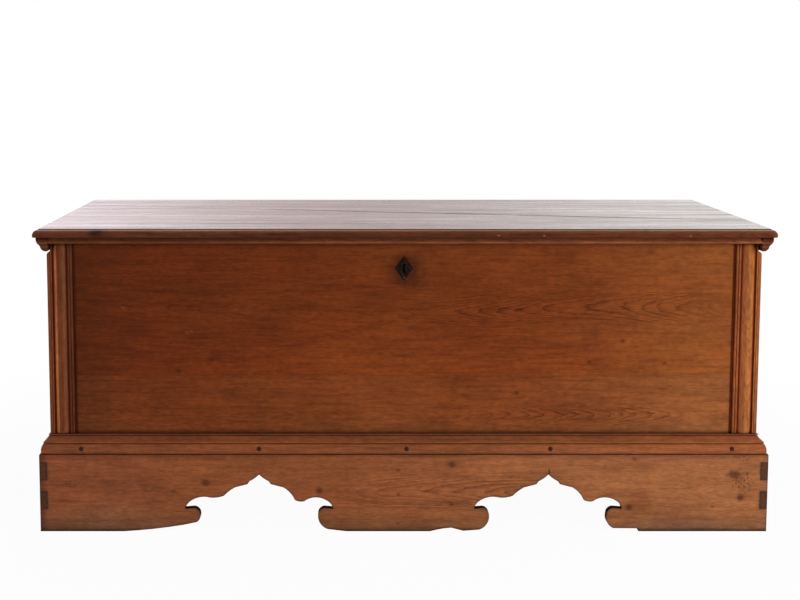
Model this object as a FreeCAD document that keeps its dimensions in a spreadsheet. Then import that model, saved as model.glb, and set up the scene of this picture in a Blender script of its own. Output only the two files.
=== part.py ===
import FreeCAD, Part
import math
import os
import re

import Sketcher

# A blanket chest on a scrolled plinth, in millimetres.
# X runs along the chest, the front faces -Y, Z is up.
# The origin is the middle of the footprint, on the floor.

SIZES = {
    # lid
    "lid_length": 1592,
    "lid_depth": 634,
    "lid_thickness": 18,
    "lid_edge_round": 11,
    "lid_edge_quirk": 1.5,
    "lid_edge_undercut": 3,
    "lid_joint_left": 505,
    "lid_joint_right": 165,
    # cleats and lip moulding under the lid
    "cleat_width": 24,
    "cleat_drop": 30,
    "cleat_gap": 1.5,
    "cleat_setback": 8,
    "cleat_length": 609,
    "lip_depth": 15.5,
    "lip_drop": 14,
    # case
    "case_length": 1530,
    "case_depth": 574,
    "lid_front_overhang": 33,
    "board_thickness": 22,
    "lower_course": 153,
    "upper_course": 307,
    "bottom_thickness": 16,
    "bottom_boards": 5,
    "tail_flare": 3,
    # strips on the front corners
    "strip_width": 51,
    "strip_thickness": 7,
    "side_strip_height": 401,
    "side_strip_bevel": 6,
    # moulding round the foot of the case
    "moulding_height": 41,
    "moulding_depth": 24.5,
    "fascia_height": 22.5,
    "moulding_top_depth": 9,
    # plinth
    "plinth_length": 1586,
    "plinth_depth": 602,
    "plinth_height": 171,
    "plinth_thickness": 17,
    "plinth_top_round": 3,
    "arch_centre": 315,
    "side_arch_centre": 301,
    "plinth_tail_high": 134.5,
    "plinth_tail_low": 70,
    "plinth_tail_width": 40,
    "batten_width": 40,
    "batten_height": 30,
    "block_width": 45,
    "block_chamfer": 27,
    "block_clearance": 6,
    "foot_block_length": 120,
    # pegs and nails
    "peg_height": 12,
    "peg_radius": 5,
    "peg_length": 16,
    "peg_proud": 0.4,
    "small_peg_radius": 4.5,
    "small_peg_length": 12,
    "nail_radius": 2,
    "nail_head_radius": 5.5,
    "small_nail_radius": 1,
    "small_nail_head_radius": 3,
    "nail_head_height": 1.8,
    "nail_length": 12,
    # hinges
    "hinge_centre": 470,
    "hinge_back_gap": 5.5,
    "hinge_drop": 5,
    "knuckle_radius": 4.6,
    "pin_radius": 2.2,
    "knuckle_play": 0.08,
    "knuckle_gap": 0.3,
    "knuckle_clearance": 1.9,
    "lid_knuckle_length": 14,
    "hinge_width": 34,
    "strap_length": 300,
    "strap_thickness": 2.5,
    "strap_tip_radius": 13,
    "strap_notch_play": 1,
    "leaf_height": 120,
    # lock
    "keyhole_height": 576.5,
    "keyhole_length": 21,
    "keyhole_width": 4,
    "escutcheon_width": 38,
    "escutcheon_height": 52,
    "escutcheon_thickness": 1.5,
    "escutcheon_nail_inset": 6,
    "lock_plate_width": 120,
    "lock_plate_height": 92,
    "lock_plate_thickness": 2,
    "lock_cover_width": 96,
    "lock_cover_height": 82,
    "lock_cover_depth": 18,
    "lock_wall": 1.5,
    "lock_top_gap": 4,
    "lock_nail_inset": 7,
    "bolt_length": 48,
    "bolt_height": 9,
    "bolt_depth": 6,
    "bolt_tip": 5,
    "bolt_drop": 22.5,
    "bolt_setback": 9,
    "bolt_play": 0.3,
    "guide_length": 5,
    "guide_wall": 2,
    "key_notch_start": 26,
    "key_notch_length": 8,
    "spring_setback": 12,
    "spring_thickness": 0.9,
    "spring_rise": 14,
    "staple_gap": 4,
    "staple_thickness": 5,
    "staple_width": 12,
    "staple_rim": 2.2,
    "staple_tip": 3,
    "staple_window_play": 0.8,
    "staple_plate_length": 50,
    "staple_plate_thickness": 2,
    "staple_nail_inset": 8,
}

document = FreeCAD.newDocument("blanket_chest")
sheet = document.addObject("Spreadsheet::Sheet", "Sizes")
for row, (alias, number) in enumerate(SIZES.items(), start=1):
    sheet.set(f"A{row}", alias)
    sheet.set(f"B{row}", str(number))
    sheet.setAlias(f"B{row}", alias)
document.recompute()


def size(alias):
    """The value that the sheet holds for a size."""
    return float(sheet.get(alias))


def bind(thing, property_name, formula):
    """Tie a property to a formula written with the sheet's aliases."""
    formula = re.sub(r"[a-z][a-z_]*", lambda word: "Sizes." + word.group(), formula)
    thing.setExpression(property_name, formula)


# ---------------------------------------------------------------- heights and faces

case_bottom = size("plinth_height")
boards_bottom = case_bottom + size("bottom_thickness")
lid_underside = boards_bottom + size("lower_course") + size("upper_course")
moulding_top = case_bottom + size("moulding_height")
lid_front = -size("lid_depth") / 2
case_front = lid_front + size("lid_front_overhang")
case_back = case_front + size("case_depth")
case_end = size("case_length") / 2
plinth_end = size("plinth_length") / 2
plinth_front_face = case_back - size("plinth_depth")
hinge_y = case_back + size("hinge_back_gap")
hinge_z = lid_underside - size("hinge_drop")

CASE_BOTTOM = "plinth_height"
BOARDS_BOTTOM = "plinth_height + bottom_thickness"
LID_UNDERSIDE = BOARDS_BOTTOM + " + lower_course + upper_course"
MOULDING_TOP = "plinth_height + moulding_height"
LID_FRONT = "-lid_depth / 2"
CASE_FRONT = "-lid_depth / 2 + lid_front_overhang"
CASE_BACK = CASE_FRONT + " + case_depth"
PLINTH_FRONT = CASE_BACK + " - plinth_depth"
HINGE_Y = CASE_BACK + " + hinge_back_gap"
HINGE_Z = LID_UNDERSIDE + " - hinge_drop"

SIDES = (("left", -1), ("right", 1))

# a nail's or peg's number of sides, and how wide the crown of a nail's head is beside its rim
NAIL_SIDES = 4
PEG_SIDES = 8
NAIL_CROWN = 0.4

# how wide the tip of a dovetail is beside the spacing of the tails
TAIL_SHARE = 0.62

# where the pegs and nails stand: along the base moulding, on the plinth's front (along and up),
# along a hinge's strap from its pin (its last nail is at the tip), and down a hinge's leaf
MOULDING_PEGS = (-702, -315, 6, 319, 714)
PLINTH_PEGS = ((-431, 108.4), (-183, 90.9), (105, 149.6), (492, 54.1), (734, 75))
STRAP_NAILS = (60, 150)
LEAF_NAILS = (32, 68, 104)

# where the two guides of the lock's bolt begin, along the lock plate
BOLT_GUIDES = (-34, 2)

# points nearer than this are the same point
TOUCHING = 1e-6


# ---------------------------------------------------------------- modelling helpers

def new_body(name, x="0", y="0", z="0"):
    """A body with its label, placed by three formulas."""
    body = document.addObject("PartDesign::Body", name)
    body.Label = name
    bind(body, "Placement.Base.x", x)
    bind(body, "Placement.Base.y", y)
    bind(body, "Placement.Base.z", z)
    return body


def new_sketch(body, role, offset="0"):
    """A sketch on one of the body's own origin planes, moved along its normal."""
    sketch = body.newObject("Sketcher::SketchObject", body.Name + "_sketch")
    plane = [feature for feature in body.Origin.OriginFeatures if feature.Role == role][0]
    sketch.AttachmentSupport = (plane, [""])
    sketch.MapMode = "FlatFace"
    bind(sketch, "AttachmentOffset.Base.z", offset)
    return sketch


def flat(point):
    return FreeCAD.Vector(point[0], point[1], 0)


def outline(sketch, start, *steps):
    """Draw a closed outline: a step is a point, or a via point and an end point for an arc."""
    pieces = []
    here = start
    for step in steps:
        if isinstance(step[0], tuple):
            via, there = step
            pieces.append(Part.Arc(flat(here), flat(via), flat(there)))
        else:
            there = step
            pieces.append(Part.LineSegment(flat(here), flat(there)))
        here = there
    if (flat(here) - flat(start)).Length > TOUCHING:
        pieces.append(Part.LineSegment(flat(here), flat(start)))
    added = sketch.addGeometry(pieces, False)
    for first, second in zip(added, added[1:] + added[:1]):
        join_ends(sketch, first, second)


def join_ends(sketch, first, second):
    """Tie the ends of two neighbouring edges that lie on the same point."""
    for first_end in (1, 2):
        for second_end in (1, 2):
            gap = sketch.getPoint(first, first_end) - sketch.getPoint(second, second_end)
            if gap.Length < TOUCHING:
                sketch.addConstraint(Sketcher.Constraint("Coincident", first, first_end, second, second_end))
                return


def rectangle(sketch, width, height):
    """A rectangle from the sketch's origin, its two sizes bound to formulas."""
    corners = ((0, 0), (10, 0), (10, 10), (0, 10))
    edges = [Part.LineSegment(flat(corners[i]), flat(corners[(i + 1) % 4])) for i in range(4)]
    sketch.addGeometry(edges, False)
    for i in range(4):
        sketch.addConstraint(Sketcher.Constraint("Coincident", i, 2, (i + 1) % 4, 1))
    sketch.addConstraint(Sketcher.Constraint("Horizontal", 0))
    sketch.addConstraint(Sketcher.Constraint("Horizontal", 2))
    sketch.addConstraint(Sketcher.Constraint("Vertical", 1))
    sketch.addConstraint(Sketcher.Constraint("Vertical", 3))
    sketch.addConstraint(Sketcher.Constraint("Coincident", 0, 1, -1, 1))
    wide = sketch.addConstraint(Sketcher.Constraint("DistanceX", 0, 1, 0, 2, 10))
    high = sketch.addConstraint(Sketcher.Constraint("DistanceY", 1, 1, 1, 2, 10))
    bind(sketch, f"Constraints[{wide}]", width)
    bind(sketch, f"Constraints[{high}]", height)


def circle(sketch, centre, radius):
    """A circle whose radius is bound to a formula."""
    ring = sketch.addGeometry(Part.Circle(flat(centre), FreeCAD.Vector(0, 0, 1), 1), False)
    held = sketch.addConstraint(Sketcher.Constraint("Radius", ring, 1))
    bind(sketch, f"Constraints[{held}]", radius)


def pad(body, sketch, length, both_ways=False, backwards=False):
    feature = body.newObject("PartDesign::Pad", body.Name + "_pad")
    feature.Profile = sketch
    bind(feature, "Length", length)
    if both_ways:
        feature.SideType = "Symmetric"
    feature.Reversed = backwards
    document.recompute()
    return feature


def pocket(body, sketch, length, both_ways=False, backwards=False):
    """Cut into the body, and make sure that the cut took something away."""
    before = body.Shape.Volume
    feature = body.newObject("PartDesign::Pocket", body.Name + "_pocket")
    feature.Profile = sketch
    bind(feature, "Length", length)
    if both_ways:
        feature.SideType = "Symmetric"
    feature.Reversed = backwards
    document.recompute()
    if body.Shape.Volume > before - 0.1:
        raise RuntimeError("a pocket cut nothing in " + body.Label)
    return feature


def block(name, x, y, z, along_x, along_y, along_z):
    """A plain rectangular piece from its low corner."""
    body = new_body(name, x, y, z)
    sketch = new_sketch(body, "XY_Plane")
    rectangle(sketch, along_x, along_y)
    pad(body, sketch, along_z)
    return body


def regular_polygon(centre, sides, radius):
    """The corners of a regular polygon that stands on one of its flat sides."""
    turns = [2 * math.pi * (k + 0.5) / sides for k in range(sides)]
    return [(centre[0] + radius * math.cos(turn), centre[1] + radius * math.sin(turn)) for turn in turns]


def drill(body, role, offset, centres, sides, radius, depth, both_ways=False, backwards=False):
    """Holes that fit square nails or eight-sided pegs, at the given centres."""
    sketch = new_sketch(body, role, offset)
    for centre in centres:
        outline(sketch, *regular_polygon(centre, sides, radius))
    pocket(body, sketch, depth, both_ways=both_ways, backwards=backwards)


def fastener_section(place, direction, along, sides, radius):
    """A polygon across a nail or peg, at a distance along its direction from its place."""
    x, y, z = place
    if abs(direction.z) > 0.5:
        ring = [FreeCAD.Vector(u, v, z) for u, v in regular_polygon((x, y), sides, radius)]
    else:
        ring = [FreeCAD.Vector(u, y, v) for u, v in regular_polygon((x, z), sides, radius)]
    ring = [point + direction * along for point in ring]
    return Part.makePolygon(ring + ring[:1])


def fasteners(name, places, direction, sides, radius, length, head_radius=0, head_height=0):
    """A group of nails or pegs: each shank starts at its place and runs along direction."""
    pieces = []
    for place in places:
        shank = Part.Face(fastener_section(place, direction, 0, sides, radius)).extrude(direction * length)
        if head_height > 0:
            rim = fastener_section(place, direction, 0, sides, head_radius)
            crown = fastener_section(place, direction, -head_height, sides, head_radius * NAIL_CROWN)
            shank = shank.fuse(Part.makeLoft([crown, rim], True, True))
        pieces.append(shank)
    group = document.addObject("Part::Feature", name)
    group.Label = name
    group.Shape = Part.makeCompound(pieces)
    group.Placement = FreeCAD.Placement()


# ---------------------------------------------------------------- dovetails

def spread_tails(height, count):
    """Evenly spaced tails up a board: pairs of the middle height and the width at the tip."""
    pitch = height / count
    return [(pitch * (k + 0.5), pitch * TAIL_SHARE) for k in range(count)]


def cut_sockets(body, left_end, right_end, outer_y, inner_y, thickness, tails):
    """Cut sockets into both ends of a board that runs along X, wide at its outer face."""
    for offset, at_left in ((left_end, True), (right_end, False)):
        sketch = new_sketch(body, "YZ_Plane", offset)
        for middle, width in tails:
            wide = width / 2
            narrow = wide - size("tail_flare")
            outline(sketch, (outer_y, middle - wide), (inner_y, middle - narrow),
                    (inner_y, middle + narrow), (outer_y, middle + wide))
        pocket(body, sketch, thickness, backwards=at_left)


def tail_points(tip_y, base_y, tails):
    """The corners of a dovetailed edge, from the bottom up."""
    points = []
    for middle, width in tails:
        wide = width / 2
        narrow = wide - size("tail_flare")
        points += [(base_y, middle - narrow), (tip_y, middle - wide)]
        points += [(tip_y, middle + wide), (base_y, middle + narrow)]
    return points


# ---------------------------------------------------------------- lid

def thumbnail_cuts(sketch, place):
    """Outlines of what is worked off an edge of the lid; place turns an inset into a coordinate."""
    top = size("lid_thickness")
    reach = size("lid_edge_round")
    shoulder = top - size("lid_edge_quirk")
    foot = shoulder - reach
    under = size("lid_edge_undercut")
    spare = 2
    bow = 1 - math.sqrt(0.5)
    outline(sketch, (place(-spare), top + spare), (place(reach), top + spare), (place(reach), shoulder),
            ((place(reach * bow), shoulder - reach * bow), (place(0), foot)), (place(-spare), foot))
    outline(sketch, (place(-spare), -spare), (place(under), -spare), (place(under), 0),
            ((place(under * bow), under * bow), (place(0), under)), (place(-spare), under))


def lid_board(name, corners, has_front_edge):
    """One of the two tapered boards of the lid, its outer edges worked to a thumbnail."""
    half = size("lid_length") / 2
    body = new_body(name, y=LID_FRONT, z=LID_UNDERSIDE)
    sketch = new_sketch(body, "XY_Plane")
    outline(sketch, *corners)
    pad(body, sketch, "lid_thickness")
    sketch = new_sketch(body, "XZ_Plane")
    thumbnail_cuts(sketch, lambda inset: inset - half)
    thumbnail_cuts(sketch, lambda inset: half - inset)
    pocket(body, sketch, "3 * lid_depth", both_ways=True)
    if has_front_edge:
        sketch = new_sketch(body, "YZ_Plane")
        thumbnail_cuts(sketch, lambda inset: inset)
        pocket(body, sketch, "2 * lid_length", both_ways=True)
    return body


def make_lid():
    half = size("lid_length") / 2
    joint_left = (-half, size("lid_joint_left"))
    joint_right = (half, size("lid_joint_right"))
    back_right = (half, size("lid_depth"))
    back_left = (-half, size("lid_depth"))
    front = lid_board("lid_front_board", ((-half, 0), (half, 0), joint_right, joint_left), True)
    back = lid_board("lid_back_board", (joint_left, joint_right, back_right, back_left), False)
    strap_nails = strap_nail_places()
    for body, is_front in ((front, True), (back, False)):
        holes = []
        for x, y, z in strap_nails:
            slope = (joint_right[1] - joint_left[1]) / (2 * half)
            joint_y = joint_left[1] + slope * (x + half)
            if (y - lid_front < joint_y) == is_front:
                holes.append((x, y - lid_front))
        if is_front:
            holes += [(x, y - lid_front) for x, y, z in staple_nail_places()]
        drill(body, "XY_Plane", "0", holes, NAIL_SIDES, size("nail_radius"), "nail_length", backwards=True)


def make_cleat(name, side):
    """A moulded batten under one end of the lid: two ovolos with a fillet between them."""
    body = new_body(name, y=LID_FRONT + " + cleat_setback", z=LID_UNDERSIDE + " - cleat_drop")
    inner = case_end + size("cleat_gap")
    width = size("cleat_width")
    top = size("cleat_drop")

    def place(outward, up):
        return (side * (inner + outward), up)

    sketch = new_sketch(body, "XZ_Plane")
    outline(sketch, place(0, 0), place(4.5, 0), (place(11.5, 3.6), place(15, 11.5)), place(16.5, 11.5),
            place(16.5, 13), (place(22, 18.5), place(width, 26)), place(width, top), place(0, top))
    pad(body, sketch, "cleat_length", backwards=True)


def make_lip():
    """The small moulding under the lid's front edge, a cove over a bead, from cleat to cleat."""
    body = new_body("lid_front_moulding", y=LID_FRONT + " + cleat_setback", z=LID_UNDERSIDE + " - lip_drop")
    top = size("lip_drop")
    back = size("lip_depth")
    sketch = new_sketch(body, "YZ_Plane")
    outline(sketch, (4.5, top), (4.5, top - 2), ((3.8, 8.8), (1.4, 6.4)), (1.4, 5.6), ((0, 3), (2.4, 0.4)),
            (2.4, 0), (back, 0), (back, top))
    pad(body, sketch, "case_length + 2 * cleat_gap", both_ways=True)


# ---------------------------------------------------------------- case

def make_case_boards():
    """Four walls of two courses each; the tails are on the end boards."""
    thick = size("board_thickness")
    depth = size("case_depth")
    left = "-case_length / 2"
    courses = (("lower", "lower_course", BOARDS_BOTTOM, 2),
               ("upper", "upper_course", BOARDS_BOTTOM + " + lower_course", 4))
    for course, height, bottom, count in courses:
        tall = size(height)
        tails = spread_tails(tall, count)
        front = block("front_board_" + course, left, CASE_FRONT, bottom, "case_length", "board_thickness", height)
        cut_sockets(front, "0", "case_length", 0, thick, "board_thickness", tails)
        back = block("back_board_" + course, left, CASE_BACK + " - board_thickness", bottom,
                     "case_length", "board_thickness", height)
        cut_sockets(back, "0", "case_length", thick, 0, "board_thickness", tails)
        if course == "upper":
            cut_keyhole(front, case_end, size("keyhole_height") - boards_bottom - size("lower_course"))
            nail_front_board(front, boards_bottom + size("lower_course"))
            seat_hinges(back, boards_bottom + size("lower_course"))
        front_edge = tail_points(0, thick, tails)
        back_edge = tail_points(depth, depth - thick, tails)
        for side_name, side in SIDES:
            x = left if side < 0 else "case_length / 2 - board_thickness"
            end = new_body("end_board_" + side_name + "_" + course, x, CASE_FRONT, bottom)
            sketch = new_sketch(end, "YZ_Plane")
            outline(sketch, (thick, 0), (depth - thick, 0), *back_edge, (depth - thick, tall), (thick, tall),
                    *front_edge[::-1])
            pad(end, sketch, "board_thickness")


def keyhole_outline(sketch, x, z):
    """An upright slot with round ends."""
    half_width = size("keyhole_width") / 2
    straight = size("keyhole_length") / 2 - half_width
    outline(sketch, (x - half_width, z - straight), ((x, z - straight - half_width), (x + half_width, z - straight)),
            (x + half_width, z + straight), ((x, z + straight + half_width), (x - half_width, z + straight)))


def cut_keyhole(body, x, z):
    sketch = new_sketch(body, "XZ_Plane")
    keyhole_outline(sketch, x, z)
    pocket(body, sketch, "3 * board_thickness", both_ways=True)


def nail_front_board(body, board_z):
    """Holes for the escutcheon's nails outside and for the lock's nails inside."""
    outside = [(x + case_end, z - board_z) for x, y, z in escutcheon_nail_places()]
    drill(body, "XZ_Plane", "0", outside, NAIL_SIDES, size("small_nail_radius"), "nail_length")
    inside = [(x + case_end, z - board_z) for x, y, z in lock_nail_places()]
    drill(body, "XZ_Plane", "-board_thickness", inside, NAIL_SIDES, size("nail_radius"), "nail_length",
          backwards=True)


def seat_hinges(body, board_z):
    """Notches for the straps in the top edge of the back board, and the leaf nails' holes."""
    sketch = new_sketch(body, "XY_Plane", "upper_course")
    play = size("strap_notch_play")
    half = size("hinge_width") / 2 + play
    thick = size("board_thickness")
    for side_name, side in SIDES:
        x = case_end + side * size("hinge_centre")
        outline(sketch, (x - half, -play), (x + half, -play), (x + half, thick + play), (x - half, thick + play))
    pocket(body, sketch, "strap_thickness + strap_notch_play / 2")
    holes = [(x + case_end, z - board_z) for x, y, z in leaf_nail_places()]
    drill(body, "XZ_Plane", "-board_thickness", holes, NAIL_SIDES, size("nail_radius"), "nail_length",
          backwards=True)


def make_bottom():
    """Boards that run from front to back, nailed up under the walls."""
    count = int(size("bottom_boards"))
    for k in range(count):
        block(f"bottom_board_{k + 1}", f"-case_length / 2 + {k} * case_length / bottom_boards", CASE_FRONT,
              CASE_BOTTOM, "case_length / bottom_boards", "case_depth", "bottom_thickness")


def strip_outline(sketch, place):
    """Section of a reeded strip: bead, quirk, broad reed, quirk, two small reeds and a flat margin."""
    front = size("strip_thickness")
    width = size("strip_width")
    low = front - 3.5
    outline(sketch, place(0, 0), place(0, front - 1.5), (place(1.8, front), place(3.6, front - 1.5)),
            place(3.6, low), place(5.8, low), (place(20.2, front), place(34.6, low)), place(36.8, low),
            (place(39.4, front - 0.4), place(42, front - 2.4)), (place(44.6, front - 0.8), place(47.2, low)),
            place(47.2, low - 1.5), place(width, low - 1.5), place(width, 0))


def make_corner_strips():
    """Front strips as tall as the case, side strips that stop under the cleats."""
    for side_name, side in SIDES:
        front = new_body("corner_strip_front_" + side_name, y=CASE_FRONT, z=MOULDING_TOP)
        sketch = new_sketch(front, "XY_Plane")
        strip_outline(sketch, lambda across, proud: (side * (case_end - across), -proud))
        pad(front, sketch, LID_UNDERSIDE + " - plinth_height - moulding_height")

        flank = new_body("corner_strip_side_" + side_name, y=CASE_FRONT + " - strip_thickness", z=MOULDING_TOP)
        sketch = new_sketch(flank, "XY_Plane")
        strip_outline(sketch, lambda across, proud: (side * (case_end + proud), across))
        pad(flank, sketch, "side_strip_height")
        bevel_strip_top(flank, side)


def bevel_strip_top(body, side):
    """Slope the top of a side strip down from the case, clear of the cleat above it."""
    spare = 1
    top = size("side_strip_height")
    inner = case_end + size("strip_thickness") / 3
    outer = case_end + size("strip_thickness") + spare
    sketch = new_sketch(body, "XZ_Plane")
    outline(sketch, (side * inner, top + spare), (side * outer, top - size("side_strip_bevel")),
            (side * outer, top + spare))
    pocket(body, sketch, "3 * strip_width", both_ways=True)


# ---------------------------------------------------------------- moulding round the foot of the case

def moulding_outline(sketch, place):
    """Section of the base moulding: fillet, cove, nose, quirk and a fascia that swells downwards."""
    top = size("moulding_height")
    depth = size("moulding_depth")
    fascia = size("fascia_height")
    fillet = size("moulding_top_depth")
    outline(sketch, place(0, 0), place(depth - 1.2, 0),
            (place(depth, fascia * 0.25), place(depth - 3, fascia - 2)), place(depth - 4.5, fascia - 0.8),
            place(depth - 7, fascia - 0.8), place(depth - 7, fascia + 0.8), place(depth - 4.7, fascia + 0.8),
            (place(depth - 4.7, fascia + 3), place(depth - 6.5, fascia + 5)),
            (place(fillet + 3.5, top - 9), place(fillet + 0.5, top - 4.2)), place(fillet - 1.5, top - 4.2),
            place(fillet - 1.5, top - 1.8), place(fillet + 1, top - 1.8), place(fillet + 1, top), place(0, top))


def make_base_moulding():
    depth = size("moulding_depth")
    spare = 1
    front = new_body("base_moulding_front", y=CASE_FRONT, z=CASE_BOTTOM)
    sketch = new_sketch(front, "YZ_Plane")
    moulding_outline(sketch, lambda out, up: (-out, up))
    pad(front, sketch, "case_length + 2 * moulding_depth", both_ways=True)
    sketch = new_sketch(front, "XY_Plane")
    for side_name, side in SIDES:
        outline(sketch, (side * (case_end - spare), spare), (side * (case_end + depth + spare), -depth - spare),
                (side * (case_end + depth + spare), spare))
    pocket(front, sketch, "3 * moulding_height", both_ways=True)
    holes = [(x, z - case_bottom) for x, y, z in moulding_peg_places()]
    drill(front, "XZ_Plane", "moulding_depth + peg_proud", holes, PEG_SIDES, size("peg_radius"), "peg_length")

    for side_name, side in SIDES:
        flank = new_body("base_moulding_" + side_name, y=CASE_FRONT, z=CASE_BOTTOM)
        sketch = new_sketch(flank, "XZ_Plane", "moulding_depth")
        moulding_outline(sketch, lambda out, up: (side * (case_end + out), up))
        pad(flank, sketch, "case_depth + moulding_depth", backwards=True)
        sketch = new_sketch(flank, "XY_Plane")
        outline(sketch, (side * (case_end - spare), spare), (side * (case_end - spare), -depth - spare),
                (side * (case_end + depth + spare), -depth - spare))
        pocket(flank, sketch, "3 * moulding_height", both_ways=True)


def moulding_peg_places():
    y = case_front - size("moulding_depth") - size("peg_proud")
    z = case_bottom + size("peg_height")
    return [(x, y, z) for x in MOULDING_PEGS]


# ---------------------------------------------------------------- plinth

# The scrolled arches, in halves from the apex out to the foot: a flared tip, a shoulder, a
# hanging lobe, a small second arch that ends in a slit, and the nose of the foot.
# Each step is the next point, or a point on the way and the next point of an arc.
# They were sawn by eye, so the two shoulders differ, and each foot is worn in its own way.
ARCH_APEX = (0, 127)
ARCH_TIP = (((10.5, 118.2), (21, 112)), (25.5, 105.5), (53, 98.3))
LEFT_SHOULDER = (((67, 88.8), (77, 79.6)), ((92, 75.7), (107, 75.6)), ((128, 76.8), (146.5, 70)))
RIGHT_SHOULDER = (((67.5, 86.5), (78, 70)), ((87.5, 66.8), (98, 67.3)), ((125, 76), (146.5, 69.5)))
SCROLL = (((156.4, 61.3), (161.5, 50.5)), (142, 52), ((131.6, 46), (128.3, 36)))
SOUND_TOE = (((132.5, 18.5), (150, 4.7)), (190, 0))
RUBBED_TOE = (((130.5, 27), (137, 20.5)), (165, 14.5), ((230, 5.5), (295, 0)))
HOLLOW_TOE = (((132.5, 17), (150, 3.5)), (184, 1), (211, 8), ((234, 5.2), (257, 0)))
CHIPPED_TOE = (((131, 18), (143, 7)), (198, 6.5), (199, 0))


def arch_steps(centre, left_toe, right_toe):
    """The steps of a whole arch, from the foot on its left to the foot on its right."""
    left = ARCH_TIP + LEFT_SHOULDER + SCROLL + left_toe
    right = ARCH_TIP + RIGHT_SHOULDER + SCROLL + right_toe
    ends = [ARCH_APEX] + [step[1] if isinstance(step[0], tuple) else step for step in left]
    steps = [(centre - ends[-1][0], ends[-1][1])]
    for step, end in zip(left[::-1], ends[-2::-1]):
        there = (centre - end[0], end[1])
        steps.append(((centre - step[0][0], step[0][1]), there) if isinstance(step[0], tuple) else there)
    for step in right:
        if isinstance(step[0], tuple):
            steps.append(tuple((centre + x, z) for x, z in step))
        else:
            steps.append((centre + step[0], step[1]))
    return steps


def make_plinth():
    thick = size("plinth_thickness")
    depth = size("plinth_depth")
    high = size("plinth_height")
    tails = [(size("plinth_tail_low"), size("plinth_tail_width")),
             (size("plinth_tail_high"), size("plinth_tail_width"))]
    arch = size("arch_centre")

    front = new_body("plinth_front", y=PLINTH_FRONT + " + plinth_thickness")
    sketch = new_sketch(front, "XZ_Plane")
    outline(sketch, (-plinth_end, 0), *arch_steps(-arch, RUBBED_TOE, SOUND_TOE),
            *arch_steps(arch, HOLLOW_TOE, CHIPPED_TOE), (plinth_end, 0), (plinth_end, high), (-plinth_end, high))
    pad(front, sketch, "plinth_thickness")
    cut_sockets(front, "-plinth_length / 2", "plinth_length / 2", -thick, 0, "plinth_thickness", tails)
    holes = [(x, z) for x, y, z in plinth_peg_places()]
    drill(front, "XZ_Plane", "plinth_thickness + peg_proud", holes, PEG_SIDES, size("small_peg_radius"),
          "small_peg_length")
    round_plinth_top(front, "YZ_Plane", lambda inset: inset - thick)

    back = block("plinth_back", "-plinth_length / 2", CASE_BACK + " - plinth_thickness", "0",
                 "plinth_length", "plinth_thickness", "plinth_height")
    cut_sockets(back, "0", "plinth_length", thick, 0, "plinth_thickness", tails)

    front_edge = tail_points(0, thick, tails)
    back_edge = tail_points(depth, depth - thick, tails)
    for side_name, side in SIDES:
        x = "-plinth_length / 2" if side < 0 else "plinth_length / 2 - plinth_thickness"
        flank = new_body("plinth_" + side_name, x, PLINTH_FRONT, "0")
        sketch = new_sketch(flank, "YZ_Plane")
        outline(sketch, (thick, 0), *arch_steps(size("side_arch_centre"), SOUND_TOE, SOUND_TOE),
                (depth - thick, 0), *back_edge, (depth - thick, high), (thick, high), *front_edge[::-1])
        pad(flank, sketch, "plinth_thickness")
        outer = 0 if side < 0 else thick
        round_plinth_top(flank, "XZ_Plane", lambda inset: outer - side * inset)


def round_plinth_top(body, role, place):
    """Round the outer top edge of a plinth board; place turns an inset into a coordinate."""
    spare = 1
    top = size("plinth_height")
    reach = size("plinth_top_round")
    bow = 1 - math.sqrt(0.5)
    sketch = new_sketch(body, role)
    outline(sketch, (place(-spare), top + spare), (place(reach), top + spare), (place(reach), top),
            ((place(reach * bow), top - reach * bow), (place(0), top - reach)), (place(-spare), top - reach))
    pocket(body, sketch, "2 * plinth_length", both_ways=True)


def plinth_peg_places():
    return [(x, plinth_front_face - size("peg_proud"), z) for x, z in PLINTH_PEGS]


def make_underframe():
    """Battens inside the plinth that carry the case, and glue blocks behind its feet."""
    batten_z = "plinth_height - batten_height"
    inside_x = "plinth_length / 2 - plinth_thickness"
    inside_front = PLINTH_FRONT + " + plinth_thickness"
    inside_back = CASE_BACK + " - plinth_thickness"
    long_way = "plinth_length - 2 * plinth_thickness"
    short_way = "plinth_depth - 2 * plinth_thickness - 2 * batten_width"
    block("batten_front", "-(" + inside_x + ")", inside_front, batten_z, long_way, "batten_width", "batten_height")
    block("batten_back", "-(" + inside_x + ")", inside_back + " - batten_width", batten_z,
          long_way, "batten_width", "batten_height")
    for side_name, side in SIDES:
        x = "-(" + inside_x + ")" if side < 0 else inside_x + " - batten_width"
        block("batten_" + side_name, x, inside_front + " + batten_width", batten_z,
              "batten_width", short_way, "batten_height")
        corner = "-(" + inside_x + ")" if side < 0 else inside_x
        corner_block("corner_block_front_" + side_name, corner, inside_front, -side, 1)
        corner_block("corner_block_back_" + side_name, corner, inside_back, -side, -1)
    block("foot_block_middle", "-foot_block_length / 2", inside_front, "block_clearance",
          "foot_block_length", "batten_width", "plinth_height - batten_height - block_clearance")


def corner_block(name, x, y, along_x, along_y):
    """A square glue block with its free corner cut off, in a corner of the plinth."""
    width = size("block_width")
    cut = size("block_chamfer")
    body = new_body(name, x, y, "block_clearance")
    sketch = new_sketch(body, "XY_Plane")
    outline(sketch, (0, 0), (along_x * width, 0), (along_x * width, along_y * (width - cut)),
            (along_x * (width - cut), along_y * width), (0, along_y * width))
    pad(body, sketch, "plinth_height - batten_height - block_clearance")


# ---------------------------------------------------------------- escutcheon and lock

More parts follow.
